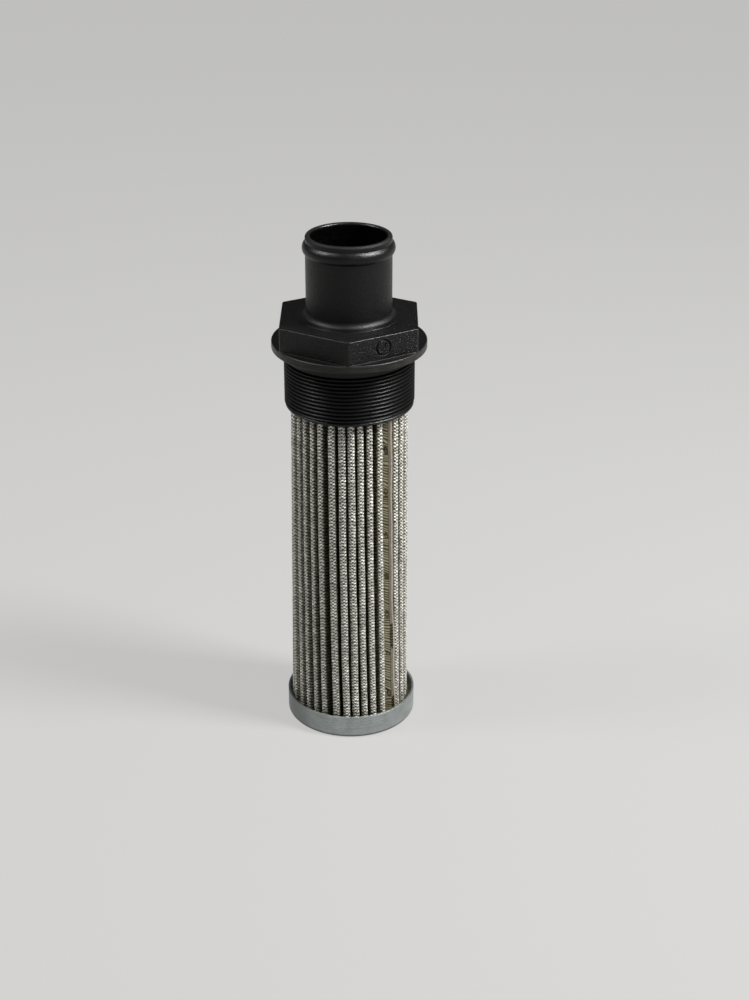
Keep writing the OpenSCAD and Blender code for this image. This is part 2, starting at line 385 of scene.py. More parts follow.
# Angles, at the head, of the pleats that follow the seam clockwise as seen from above, and of the
# three before it. The others are spaced evenly round the back.
FRONT_ANGLES = (31.8, 20.7, 11.2, 2.2, -7.1, -17.6, -29.9, -39.7, -49.9, -60.6, -75.0)
RIGHT_ANGLES = (77.5, 65.0, 53.4)
BACK_LEAN = 0.7
TWIST = 3.6
SEAM_TWIST = 6.6
PACK_LEAN = 0.6
RADIUS_TOP = 22.4
RADIUS_BOTTOM = 23.5
# Depth to which the cloth stands in the resin of the cap and of the head
CLOTH_SINK = 0.8
CLOTH_RISE = 1.5
TIP_ROUND = 1.42
# Angles, and the widths of the tips there against the full one: those on the left are pressed less flat
TIP_ANGLES = (-180, -120, -39, -30, -19, 3, 12, 40, 60)
TIP_SHARES = (1.0, 0.66, 0.66, 0.84, 0.99, 0.96, 0.86, 0.84, 1.0)
# Depth of a tip's arc against its half width
TIP_FLAT = 0.6
FOLD_ROUND = 0.75
FOLD_CLEAR = 0.3
CLOTH_THICK = 0.5
# Middle of each of the two cloth ends at the seam, from the seam's own middle
SEAM_CLOTH = 0.13
FLANK_THICK = 0.36
WARP_PITCH = 0.98
WEFT_PITCH = 0.68
KNUCKLE = 0.14
WIRE_ROUND = 0.1
# Columns of points: to each side of a tip's apex, on its inner face, where a flank laps a tip, down
# one flank and round a fold
TIP_COLUMNS = 8
INNER_COLUMNS = 3
LAP_COLUMNS = 3
FLANK_COLUMNS = 3
FOLD_COLUMNS = 9
# Turn by which the flanks' sheet laps a tip, and the largest turn of a tip's arc
TIP_OVERLAP = 12
ARC_END = 130
FLANK_ROW = 3.0
# Slow waves of each pleat sideways, in degrees, and outwards, with their wavelengths
SWAY = 0.15
SWAY_LENGTH = 70
BULGE = 0.05
BULGE_LENGTH = 50
TIP_GROUPS = 4
# Runs from a tip's apex between which painted shade darkens the cloth towards the gap between the pleats
CLOTH_SHADE = (1.1, 2.0)
# Rise of the weft wires for each millimetre from a tip's apex
WIRE_SLANT = 0.3
# How far the wires stray from their even places, the scale of the noise that moves them, and how far
# from the middle of a tip the weave may start
WIRE_STRAY = 1.0
STRAY_SCALE = 0.5
START_SPREAD = 0.2
# Share of the weft's own roundness in the height of the weave, and the heights between which the painted
# shade in its holes turns into wire and the painted highlight on its knuckles grows
WEFT_SHARE = 0.4
HOLE_SHADE_SPAN = (-0.4, 0.05)
KNUCKLE_HIGHLIGHT_SPAN = (0.0, 0.7)
WIRE_RELIEF = 0.08
# Size of the specks that dull the wires, and the brightness left in them
SPECK_SIZE = 1.2
SPECK_DIM = 0.45
# Painted highlight on the knuckles, painted shade on the sides of the wires, and painted shade in the
# holes between them
CLOTH_HIGHLIGHT = (0.98, 0.96, 0.88, 1)
CLOTH_SHADED_WIRE = (0.25, 0.243, 0.2, 1)
CLOTH_HOLE_SHADE = (0.01, 0.0095, 0.007, 1)
# Tint of the painted shade in the gaps between the pleats, the share of it that is left on the left
# side, and the places across the strainer between which it grows to its full strength
CLOTH_GAP_SHADE = (0.42, 0.415, 0.29, 1)
GAP_SHADE_LEFT = 0.45
GAP_SHADE_SPAN = (-19, -6)

cloth_low = resin_top - CLOTH_SINK
cloth_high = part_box("upper_resin")[0].z / MM + CLOTH_RISE
fold_centre_r = tube_r + FOLD_CLEAR + FOLD_ROUND + CLOTH_THICK / 2
right_angles = np.array(RIGHT_ANGLES) - 360
back_count = PLEATS - 1 - len(FRONT_ANGLES) - len(RIGHT_ANGLES)
back_angles = np.linspace(FRONT_ANGLES[-1], right_angles[0], back_count + 2)[1:-1]
back_angles += random.uniform(-BACK_LEAN, BACK_LEAN, back_count)
pleat_angle = np.concatenate([[SEAM_ANGLE], FRONT_ANGLES, back_angles, right_angles])[:, None]
pleat_twist = np.where(np.arange(PLEATS) == 0, SEAM_TWIST, TWIST)[:, None]
tip_share = np.interp((pleat_angle + 180) % 360 - 180, TIP_ANGLES, TIP_SHARES)
# Radius of each tip at the middle of the cloth; pleat 0 is the seam, where two ends stand together
tip_middle = TIP_ROUND * tip_share - CLOTH_THICK / 2
tip_middle[0] = SEAM_CLOTH


def wander(wavelength, count):
    """A function of height that gives slow random waves within about -1 to 1, one row for each of
    count items: half the sum of three sines with random starts, each 0.6 to 1.6 times as fast as the
    wavelength says."""
    start = random.uniform(0, 2 * np.pi, (3, count, 1))
    rate = random.uniform(0.6, 1.6, (3, count, 1)) * 2 * np.pi / wavelength
    return lambda level: np.sin(rate * level + start).sum(0) / 2


# Place in the weave at the middle of each tip, from a warp wire
pleat_start = random.uniform(-START_SPREAD, START_SPREAD, PLEATS)
pleat_sway = wander(SWAY_LENGTH, PLEATS)
pleat_bulge = wander(BULGE_LENGTH, PLEATS)


def pleat_frames(level):
    """Angle of each pleat at each height, and the radius of the middle of its tip's arc: the angle
    at the head, a twist that grows with the square of the distance below it, and slow waves. The
    radius grows downwards, more so on the left."""
    down = (cloth_high - level) / (cloth_high - cloth_low)
    angle = pleat_angle + pleat_twist * down**2 + SWAY * pleat_sway(level)
    lean = -PACK_LEAN * np.sin(np.radians(angle))
    radius = RADIUS_TOP + (RADIUS_BOTTOM - RADIUS_TOP + lean) * down + BULGE * pleat_bulge(level)
    return angle, radius - tip_middle - CLOTH_THICK / 2


def flank_turn(middle, centre_r, half_gap):
    """Angle from a pleat's own direction at which its tip's arc runs into the straight flank. The
    flank is the inner tangent of the tip's circle and of the fold's, half a gap further round."""
    across = fold_centre_r * np.sin(np.radians(half_gap))
    along = fold_centre_r * np.cos(np.radians(half_gap)) - centre_r
    tangent = np.arccos((middle + FOLD_ROUND) / np.hypot(along, across))
    return np.degrees(np.arctan2(across, along) - tangent)


def gap_turns(angle, centre_r):
    """For the gap to the right of each pleat: the angle of the pleat beyond it, and the two angles
    at which the flanks leave the tips on its left and on its right."""
    right_angle = np.roll(angle, 1, 0)
    right_angle[0] += 360
    half_gap = (right_angle - angle) / 2
    leave_left = flank_turn(tip_middle, centre_r, half_gap)
    leave_right = flank_turn(np.roll(tip_middle, 1, 0), np.roll(centre_r, 1, 0), half_gap)
    return right_angle, leave_left, leave_right


def tip_place(angle, centre_r, middle, turn, lift=0.0):
    """Place on a pleat's tip at a turn from the pleat's own direction: an ellipse as wide as the tip's
    circle and flatter, with the same apex, moved out along its normal by the lift."""
    cosine = np.cos(np.radians(turn))
    sine = np.sin(np.radians(turn))
    steep = np.hypot(TIP_FLAT * sine, cosine)
    out = centre_r + middle * (1 - TIP_FLAT + TIP_FLAT * cosine) + lift * cosine / steep
    side = (middle + lift * TIP_FLAT / steep) * sine
    return out[..., None] * polar(1.0, angle) + side[..., None] * polar(1.0, angle + 90)


# Run along the outer face of a tip of full width from its apex to each turn
arc_turn = np.linspace(0, ARC_END, 2 * ARC_END + 1)
arc_place = tip_place(0.0, 0.0, TIP_ROUND - CLOTH_THICK / 2, arc_turn, CLOTH_THICK / 2)
arc_run = np.append(0, np.cumsum(np.linalg.norm(np.diff(arc_place, axis=0), axis=1)))


def weave_lift(run, level):
    """Relief of the weave over its mean: the weft wires lie one above the other, round in section,
    and pass over and under the warp in turn, so that knuckles stand up in a staggered pattern."""
    warp = np.cos(np.pi * run / WARP_PITCH)
    weft = np.cos(np.pi * level / WEFT_PITCH)
    return KNUCKLE * warp * weft + WIRE_ROUND * (np.abs(weft) - 0.5)


def strip_solids(outer, inner, level):
    """Closed strips with the given outer and inner faces, both as places for each strip, row and
    column. The faces are joined along both edges and at both ends."""
    loop = np.concatenate([outer, inner[:, :, ::-1]], 2)
    strips, rows, columns = loop.shape[:3]
    height = np.broadcast_to(level[None, :, None, None], (strips, rows, columns, 1))
    points = np.concatenate([loop, height], -1).reshape(-1, 3)
    first = (np.arange(strips) * rows * columns)[:, None, None]
    sides = (first + grid_quads(rows, columns)[None]).reshape(-1, 4)
    bottom = first[:, 0] + np.arange(columns)[None, ::-1]
    top = first[:, 0] + (rows - 1) * columns + np.arange(columns)[None, :]
    return points, [sides, bottom, top]


def set_cloth(piece, run, level, from_apex):
    """Stores the run along the cloth, the height and the run from the tip's apex at every point."""
    values = np.stack(np.broadcast_arrays(run, level[None, :, None], from_apex), -1)
    attribute = piece.data.attributes.new("cloth", "FLOAT_VECTOR", "POINT")
    attribute.data.foreach_set("vector", values.ravel())


def tinted(tree, factor, colour, tint):
    """A colour multiplied by a tint, as far as the factor says."""
    values = {0: factor, 6: colour, 7: tint}
    return add_node(tree, "ShaderNodeMix", values, data_type="RGBA", blend_type="MULTIPLY").outputs[2]


def wire_cloth():
    """Stainless wire in a weave, with its light and shade painted in: a painted highlight on the
    knuckles and painted shade between the wires, with the same formula as the relief on the run along
    the cloth and the height, both strayed by a slow noise, with the weft rising to both sides of a tip.
    Painted shade of the gaps between the pleats darkens it down the flanks, less so on the left."""
    material, tree, shader = new_material("wire_cloth")
    cloth = add_node(tree, "ShaderNodeAttribute", attribute_name="cloth").outputs["Vector"]
    slow = {"Vector": object_place(tree), "Scale": STRAY_SCALE, "Detail": 1.0}
    noise = add_node(tree, "ShaderNodeTexNoise", slow)
    middle = {0: noise.outputs["Color"], 1: (0.5, 0.5, 0.5)}
    around = add_node(tree, "ShaderNodeVectorMath", middle, operation="SUBTRACT").outputs[0]
    stray = {0: around, 1: (WIRE_STRAY, WIRE_STRAY, 0), 2: cloth}
    strayed = add_node(tree, "ShaderNodeVectorMath", stray, operation="MULTIPLY_ADD").outputs[0]
    run, level, from_apex = parts(tree, strayed)
    warp = calculate(tree, "COSINE", calculate(tree, "MULTIPLY", run, math.pi / WARP_PITCH))
    slanted = calculate(tree, "MULTIPLY_ADD", from_apex, -WIRE_SLANT, level)
    weft = calculate(tree, "COSINE", calculate(tree, "MULTIPLY", slanted, math.pi / WEFT_PITCH))
    knuckle = calculate(tree, "MULTIPLY", warp, weft)
    lift = calculate(tree, "MULTIPLY_ADD", calculate(tree, "ABSOLUTE", weft), WEFT_SHARE, knuckle)
    specks = mottle(tree, object_place(tree), SPECK_SIZE, contrast=2.6)
    shine = ramp(tree, specks, 0.0, 1.0, SPECK_DIM, 1.0)
    # Painted highlight on the knuckles over painted shade on the wires' sides
    wires = blend(tree, ramp(tree, lift, *KNUCKLE_HIGHLIGHT_SPAN), CLOTH_SHADED_WIRE, CLOTH_HIGHLIGHT)
    wires = tinted(tree, 1.0, wires, shine)
    # Painted shade in the holes between the wires
    weave_light_and_shade = blend(tree, ramp(tree, lift, *HOLE_SHADE_SPAN), CLOTH_HOLE_SHADE, wires)
    # Painted shade of the gaps between the pleats, weaker on the left
    gap_shade_share = ramp(tree, parts(tree, object_place(tree))[0], *GAP_SHADE_SPAN, GAP_SHADE_LEFT, 1.0)
    shade = calculate(tree, "MULTIPLY", ramp(tree, from_apex, *CLOTH_SHADE), gap_shade_share)
    feed_all(tree, shader, {
        "Base Color": tinted(tree, shade, weave_light_and_shade, CLOTH_GAP_SHADE),
        "Metallic": 0.5,
        "Roughness": 0.4,
        "Normal": relief(tree, lift, WIRE_RELIEF, strength=0.8),
    })
    return material


def tip_faces(pleats, level):
    """Outer and inner faces of the tips of some pleats, and the run of cloth at each column, from its
    start and, for a tip of full width, from the apex. A tip is a flat arc that runs a little way down
    both flanks. Its outer face carries the weave's relief."""
    angle, centre_r = pleat_frames(level)
    leave_right = gap_turns(angle, centre_r)[1]
    leave_left = np.roll(gap_turns(angle, centre_r)[2], -1, 0)
    angle, centre_r, leave_right, leave_left = (
        values[pleats][:, :, None] for values in (angle, centre_r, leave_right, leave_left)
    )
    middle = tip_middle[pleats][:, :, None]
    share = tip_share[pleats][:, :, None]

    def face(run, lift):
        turn = np.sign(run) * np.interp(np.abs(run) / share, arc_run, arc_turn)
        on_arc = np.clip(turn, -leave_left, leave_right)
        past = run - np.sign(run) * share * np.interp(np.abs(on_arc), arc_turn, arc_run)
        onward = polar(1.0, angle + on_arc + 90)
        return tip_place(angle, centre_r, middle, on_arc, lift) + past[..., None] * onward

    outer_run = np.arange(-TIP_COLUMNS, TIP_COLUMNS + 1) * WARP_PITCH / 4
    inner_run = np.linspace(outer_run[0], outer_run[-1], INNER_COLUMNS)
    start = pleat_start[pleats][:, None, None]
    slanted = level[None, :, None] - WIRE_SLANT * np.abs(outer_run) / share
    lift = CLOTH_THICK / 2 + weave_lift(start + outer_run, slanted)
    outer = face(outer_run[None, None, :], lift)
    inner = face(inner_run[None, None, :], np.full((1, 1, INNER_COLUMNS), -CLOTH_THICK / 2))
    run = np.concatenate([outer_run, inner_run[::-1]])
    return outer, inner, start + run, np.abs(run) / share


def gap_faces(level):
    """Outer and inner faces of the cloth in the gap to the right of each pleat, and the run of cloth
    at each column, from its start and from the nearer apex: down the flank of one tip, round the fold
    on the tube, up to the next tip."""
    angle, centre_r = pleat_frames(level)
    right_angle, leave_left, leave_right = (values[..., None] for values in gap_turns(angle, centre_r))
    angle = angle[..., None]
    centre_r = centre_r[..., None]
    middle = tip_middle[..., None]
    share = np.linspace(0, 1, LAP_COLUMNS)
    left_turn = leave_left - TIP_OVERLAP * (1 - share)
    right_turn = TIP_OVERLAP * share - leave_right
    left_tip = tip_place(angle, centre_r, middle, left_turn)
    right_tip = tip_place(right_angle, np.roll(centre_r, 1, 0), np.roll(middle, 1, 0), right_turn)
    left_turn = angle + left_turn
    right_turn = right_angle + right_turn
    fold_start = angle + leave_left
    fold_turn = fold_start + (right_angle - leave_right - fold_start) * np.linspace(0, 1, FOLD_COLUMNS)
    fold = polar(fold_centre_r, (angle + right_angle) / 2) - FOLD_ROUND * polar(1.0, fold_turn)
    between = np.linspace(0, 1, FLANK_COLUMNS + 2)[1:-1, None]
    down = left_tip[:, :, -1:] + (fold[:, :, :1] - left_tip[:, :, -1:]) * between
    up = fold[:, :, -1:] + (right_tip[:, :, :1] - fold[:, :, -1:]) * between
    path = np.concatenate([left_tip, down, fold, up, right_tip], 2)
    flat = np.ones(len(between))
    turns = [left_turn, left_turn[..., -1:] * flat, fold_turn, right_turn[..., :1] * flat, right_turn]
    turn = np.concatenate(turns, 2)
    normal = polar(1.0, turn)
    steps = np.linalg.norm(np.diff(path[:, len(level) // 2], axis=1), axis=-1)
    down_run = np.concatenate([np.zeros((PLEATS, 1)), np.cumsum(steps, 1)], 1)
    from_tip = np.minimum(down_run, down_run[:, -1:] - down_run) / tip_share
    down_run, from_tip = (
        np.concatenate([values, values[:, ::-1]], 1)[:, None, :] + np.interp(90, arc_turn, arc_run)
        for values in (down_run, from_tip)
    )
    run = pleat_start[:, None, None] + down_run
    return path + FLANK_THICK / 2 * normal, path - FLANK_THICK / 2 * normal, run, from_tip


cloth_material = wire_cloth()
half_weft = WEFT_PITCH / 2
tip_rows = np.arange(math.ceil(cloth_low / half_weft), math.floor(cloth_high / half_weft) + 1)
tip_level = tip_rows * half_weft
for group, pleats in enumerate(np.array_split(np.arange(1, PLEATS), TIP_GROUPS), 1):
    outer, inner, run, from_apex = tip_faces(pleats, tip_level)
    strips = strip_solids(outer, inner, tip_level)
    tips = add_piece(f"pleat_tips_{group}", *strips, cloth_material, "wire_cloth", sharp=75)
    set_cloth(tips, run, tip_level, from_apex)
    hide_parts("pleated_mesh")

flank_level = np.linspace(cloth_low, cloth_high, round((cloth_high - cloth_low) / FLANK_ROW) + 1)
outer, inner, run, from_apex = gap_faces(flank_level)
strips = strip_solids(outer, inner, flank_level)
flanks = add_piece("pleat_flanks", *strips, cloth_material, "wire_cloth", sharp=75)
set_cloth(flanks, run, flank_level, from_apex)
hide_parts("pleated_mesh")

# Seam strip
# A thin steel strip folded over the two ends of the cloth and rolled tight, so that it stands out
# like a fin with a wavy edge. The ends of the weft wires press through its left leg as rough ribs.
STRIP_THICK = 0.2
STRIP_HALF = 0.46
STRIP_LEG = 4.0
STRIP_SINK = 0.1
STRIP_ROW = 0.17
# Columns of points up the left leg and round the bend, and the step that thins them on the right leg
LEG_COLUMNS = 15
BEND_COLUMNS = 9
RIGHT_STEP = 3
# Waves of the folded edge sideways, and their wavelength
STRIP_WAVE = 0.24
WAVE_LENGTH = 26
RIB_PITCH = 1.2
RIB_LIFT = 0.12
# How far the ribs drift from even heights, their strength and its swing, and the two wavelengths
RIB_DRIFT = 0.45
RIB_STRENGTH = 0.85
RIB_SWING = 0.5
DRIFT_LENGTH = 7
SWING_LENGTH = 9
# Share of the left leg, from its foot, up to which the ribs show, and how steeply they end there
RIB_END = 0.76
RIB_STEEP = 12
# Values of the rib attribute on the plain strip and on its folded edge, and those between which the
# colours of a rib, of the folded edge and of the ribbed part grow to their full strength
RIB_PLAIN = -0.5
RIB_EDGE = -1.0
RIB_VALUES = (0.15, 0.65)
EDGE_VALUES = (-0.6, -1.0)
SPAN_VALUES = (-0.4, -0.02)
# Share of the bend from which it has the colour of the edge
EDGE_START = 0.2
# Height between the knots of wire, their start below the base, the size of one, and how far they
# stray with the waves of the edge
KNOT_PITCH = 18.0
KNOT_DROP = 4.0
KNOT_SIZE = 1.3
KNOT_STRAY = 1.6
# Middle and width of a knot's curl as shares of the leg, and the radius and the breadth of the dark
# hollow round it in sizes of a knot
CURL_MIDDLE = 0.47
CURL_WIDTH = 0.2
HOLLOW_R = 0.8
HOLLOW_BREADTH = 0.4
# Share of the leg at which the ribs stay level where they fan out, the spread of the fan in sizes of a
# knot, and its strength
FAN_MIDDLE = 0.3
FAN_SPREAD = 2.4
FAN_BEND = 0.9
STRIP_EDGE = (0.21, 0.18, 0.182, 1)
# The brown and the straw are painted paler than the steel's own tint, as painted light on the strip's
# left leg
STRIP_BROWN = (0.37, 0.307, 0.22, 1)
STRIP_STRAW = (1.0, 0.937, 0.78, 1)
STRIP_DARK = (0.03, 0.025, 0.014, 1)
# Sizes of the strip's clouds and specks, share of brown in the plain strip, and height of the specks
STRIP_CLOUD = 2.5
STRIP_SPECK = 0.7
PLAIN_BROWN = (0.4, 0.85)
SPECK_RELIEF = 0.05

strip_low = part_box("seam_strip")[0].z / MM
strip_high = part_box("seam_strip")[1].z / MM
strip_level = np.linspace(strip_low, strip_high, round((strip_high - strip_low) / STRIP_ROW) + 1)
strip_wave = wander(WAVE_LENGTH, 1)
rib_drift = wander(DRIFT_LENGTH, 1)
rib_swing = wander(SWING_LENGTH, 1)


def seam_faces(level):
    """Outer and inner faces of the strip, and how strongly a rib and the outer edge show at each
    point: up the left leg along the cloth's flank, round a tight bend and down the right leg, with
    the bend swayed sideways by the edge's waves. The ribs are a cosine of the height that drifts at
    random, and fan out round knots, each a curl of wire with a dark hollow round it."""
    frames = pleat_frames(level)
    leave_right = gap_turns(*frames)[1][:1, :, None]
    leave_left = gap_turns(*frames)[2][1:2, :, None]
    angle, centre_r = (values[:1, :, None] for values in frames)
    left_leg = np.linspace(0, 1, LEG_COLUMNS)
    right_leg = left_leg[::-RIGHT_STEP]
    bend = np.linspace(0, 1, BEND_COLUMNS + 2)[1:-1]
    across = np.concatenate([np.zeros(len(left_leg)), bend, np.ones(len(right_leg))])
    reach = np.concatenate([left_leg, np.ones(len(bend)), right_leg])
    turn = angle - leave_left + (leave_left + leave_right) * across
    normal = polar(1.0, turn)
    inward = polar(1.0, turn + np.where(across > 0.5, 90, -90))
    sway = STRIP_WAVE * strip_wave(level)[:, :, None] * reach
    middle = polar(centre_r - STRIP_SINK, angle) + sway[..., None] * polar(1.0, angle + 90)
    leg = STRIP_LEG * (1 - reach)[:, None]
    path = middle + (STRIP_HALF - STRIP_THICK / 2) * normal + leg * inward
    in_span = np.where(across == 0, np.clip((RIB_END - reach) * RIB_STEEP, 0, 1), 0)
    past_knot = (level + KNOT_DROP + KNOT_STRAY * strip_wave(level)[0] + KNOT_PITCH / 2) % KNOT_PITCH
    from_knot = (past_knot - KNOT_PITCH / 2)[:, None] / KNOT_SIZE
    fan = from_knot * np.exp(-((from_knot / FAN_SPREAD) ** 2)) * (reach - FAN_MIDDLE)
    from_curl = np.hypot(from_knot, (reach - CURL_MIDDLE) / CURL_WIDTH)
    hollow = np.exp(-(((from_curl - HOLLOW_R) / HOLLOW_BREADTH) ** 2))
    phase = (level + RIB_DRIFT * rib_drift(level))[:, :, None] + FAN_BEND * fan
    strength = np.clip(RIB_STRENGTH + RIB_SWING * rib_swing(level), 0, 1)[:, :, None] * (1 - hollow)
    rib = (0.5 + 0.5 * np.cos(2 * np.pi * phase / RIB_PITCH)) * strength * in_span
    outer = path + (STRIP_THICK / 2 + RIB_LIFT * rib)[..., None] * normal
    inner = path - STRIP_THICK / 2 * normal
    on_edge = (across > EDGE_START) & (across < 1)
    rib_show = np.where(in_span > 0, rib, np.where(on_edge, RIB_EDGE, RIB_PLAIN))
    return outer, inner, rib_show


def seam_steel():
    """Heat-tinted strip, painted paler than its own tint as painted light on its left leg, which the
    lamps hardly reach: dark brown between the ribs, straw on them, specked with both where it is plain,
    and greyer along the folded edge."""
    material, tree, shader = new_material("seam_steel")
    rib = add_node(tree, "ShaderNodeAttribute", attribute_name="rib").outputs["Fac"]
    clouds = mottle(tree, object_place(tree), STRIP_CLOUD, contrast=1.6)
    specks = mottle(tree, object_place(tree), STRIP_SPECK, contrast=1.4)
    ground = blend(tree, clouds, STRIP_DARK, STRIP_BROWN)
    ribs = blend(tree, ramp(tree, rib, *RIB_VALUES), ground, STRIP_STRAW)
    plain = blend(tree, ramp(tree, specks, 0.0, 1.0, *PLAIN_BROWN), STRIP_STRAW, STRIP_BROWN)
    edge = blend(tree, ramp(tree, rib, *EDGE_VALUES), plain, STRIP_EDGE)
    feed_all(tree, shader, {
        "Base Color": blend(tree, ramp(tree, rib, *SPAN_VALUES), edge, ribs),
        "Metallic": 0.3,
        "Roughness": 0.5,
        "Normal": relief(tree, specks, SPECK_RELIEF, strength=0.6),
    })
    return material


outer, inner, rib_show = seam_faces(strip_level)
strips = strip_solids(outer, inner, strip_level)
seam = add_piece("seam_fin", *strips, seam_steel(), "seam_steel", sharp=60)
rib_values = np.concatenate([rib_show, np.full(rib_show.shape, RIB_PLAIN)], 2)
seam.data.attributes.new("rib", "FLOAT", "POINT").data.foreach_set("value", rib_values.ravel())
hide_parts("seam_strip")

# Resin in the head
# The same casting resin, in the pocket above the thread. It is hidden by the skirt, so the solid
# stays as it is.
dress_node("upper_resin", resin_material)

# Head
# One black moulding of glass-filled nylon: a hose tail with a rounded bead, a hexagon with a small
# round mould mark, a flange and a skirt. It is bored through, with a pocket below for the element.
TAIL_R = 16.2
BORE_R = 14.2
BEAD_W = 4.8
BEAD_PROUD = 1.15
BEAD_TO_TOP = 4.7
RIM_ROUND = 0.9
FOOT_FILLET = 2.4
STEP_R = 19.0
STEP_H = 0.3
STEP_ROUND = 0.12
HEX_HALF = 25.75
HEX_CORNER = 1.5
HEX_H = 9.1
HEX_EDGE = 0.3
HEX_FOOT = 0.08
FLANGE_T = 3.1
FLANGE_EDGE = 0.5
SKIRT_LEN = 23.1
ROOT_R = 23.98
LAND_R = 24.6
LAND_TOP = 1.05
LAND_SLOPE = 0.35
LEAD_CHAMFER = 0.45
NECK_FILLET = 0.3
POCKET_R = 22.88
POCKET_DEPTH = 14.0
POCKET_CHAMFER = 0.2
# Size of the small cuts that break the other edges
EDGE_CUT = 0.1
# Rows of points above the foot's fillet, below and above the bead, and across the hexagon's top, the
# last as shares of its width
ABOVE_FILLET = 0.3
BELOW_BEAD = (6, 0.5)
ABOVE_BEAD = 0.3
TOP_SHARES = (0.03, 0.3, 0.7, 0.95)
# Height by which the foot of the hexagon clears the flange
FOOT_LIFT = 0.01
# Turns of the columns of points: reach at a corner of the hexagon, even step, and least step
CORNER_TURN = 2.4
EVEN_TURN = 1.25
LEAST_TURN = 0.12
MARK_ANGLE = 30
MARK_R = 3.3
MARK_RING = 0.8
MARK_BAR = (0.35, 1.9)
MARK_TILT = 40
MARK_DEPTH = 0.5
MARK_EDGE = 0.14
# Distance of the columns and rows of points at the mark, how far the columns reach to both sides, and
# the turn from the middle of its face that the mark stays within
MARK_ROW = 0.17
MARK_REACH = 3.74
MARK_TURN = 25
NYLON_DARK = (0.0003, 0.0003, 0.0003, 1)
NYLON_PALE = (0.006, 0.0059, 0.0057, 1)
# Colour of the flange's rim, where it is paler in streaks
NYLON_RIM_PALE = (0.018, 0.0172, 0.0138, 1)
NYLON_DUST = (0.16, 0.16, 0.155, 1)
# Size of the dust's noise, and its values between which a speck grows to its full strength
DUST_SIZE = 1.1
DUST_SPAN = (0.86, 0.9)
# Height of the mould's grain, roughness from its hollows to its peaks, sizes of the coarse and the fine
# grain, and the share of the coarse one
NYLON_GRAIN = 0.24
NYLON_SATIN = (0.32, 0.42)
GRAIN_COARSE = 0.7
GRAIN_FINE = 0.4
COARSE_SHARE = 0.6
# Strength of the grain on the tail's wall and elsewhere, against the hexagon's faces
WALL_GRAIN = 0.5
PLAIN_GRAIN = 0.25
# Least roughness of the tail's lip and foot, and the share of the roughness that is left in the bore
LIP_ROUGH = 0.65
FOOT_ROUGH = 0.5
BORE_SMOOTH = 0.4
RIM_STREAK_STRETCH = (0.25, 0.25, 1.4)
# Bands in which one finish passes into the next: inside the flange's rim, below the lip, below the
# hexagon's top, above the flange and outside the bore, and the margin at both ends of the tail's wall
RIM_BAND = (0.5, 0.1)
LIP_BAND = (1.5, 0.7)
TOP_BAND = (0.7, 0.45)
FLANGE_BAND = (0.2, 0.6)
BORE_BAND = (0.1, 0.6)
WALL_MARGIN = 1.0
# Heights that count as the hexagon's top, to both sides of it
TOP_MARGIN = 0.02

flange_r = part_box("head")[1].x / MM
skirt_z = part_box("head")[0].z / MM
top_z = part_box("head")[1].z / MM
flange_z = skirt_z + SKIRT_LEN
hex_z = flange_z + FLANGE_T
tail_z = hex_z + HEX_H
pocket_z = skirt_z + POCKET_DEPTH
mark_z = hex_z + HEX_H / 2

at_corner = np.linspace(-CORNER_TURN, CORNER_TURN, 13)
corner_turns = np.concatenate([corner + at_corner for corner in range(0, 360, 60)])
mark_across = np.arange(-MARK_REACH, MARK_REACH + MARK_ROW / 2, MARK_ROW)
mark_turns = MARK_ANGLE + np.degrees(np.arctan(mark_across / HEX_HALF))
even_turns = np.arange(0, 360, EVEN_TURN)
head_turns = np.unique(np.round(np.concatenate([corner_turns % 360, mark_turns, even_turns]), 3))
head_turns = head_turns[np.append(True, np.diff(head_turns) > LEAST_TURN)]


def hexagon(inset):
    """Radius of the hexagon at each angle, with its faces moved in by the inset: a flat lies at its
    half width divided by the cosine of the angle from its middle, and a corner is an arc."""
    from_corner = np.radians((head_turns + 30) % 60 - 30)
    half = HEX_HALF - inset
    corner = HEX_CORNER - inset
    centre = (half - corner) / math.cos(math.pi / 6)
    flat = half / np.cos(math.pi / 6 - np.abs(from_corner))
    inside = np.maximum(corner**2 - (centre * np.sin(from_corner)) ** 2, 0)
    rounded = centre * np.cos(from_corner) + np.sqrt(inside)
    ends = math.atan2(corner / 2, centre + corner * math.cos(math.pi / 6))
    return np.where(np.abs(from_corner) < ends, rounded, flat)


def mark_recess(level):
    """Depth of the mould mark at each angle and the given heights: a ring and a short tilted bar, each
    with a narrow sloped edge."""
    across = HEX_HALF * np.tan(np.radians(np.clip(head_turns - MARK_ANGLE, -MARK_TURN, MARK_TURN)))
    up = level - mark_z
    ring = MARK_RING / 2 - np.abs(np.hypot(across, up) - MARK_R + MARK_RING / 2)
    tilt = math.radians(MARK_TILT)
    along = across * math.sin(tilt) + up * math.cos(tilt)
    aside = across * math.cos(tilt) - up * math.sin(tilt)
    bar = np.minimum(MARK_BAR[0] - np.abs(aside), MARK_BAR[1] - np.abs(along))
    return MARK_DEPTH * np.clip(np.maximum(ring, bar) / MARK_EDGE, 0, 1)


def round_rows(profile):
    """Rows of the head at which its radius is the same all round."""
    return np.repeat(np.asarray(profile, float)[:, None, :], len(head_turns), 1)


def level_rows(radii, heights):
    """Rows of the head with their own radius at each angle."""
    radii = np.asarray(radii)
    return np.stack([radii, np.broadcast_to(np.asarray(heights, float)[:, None], radii.shape)], -1)


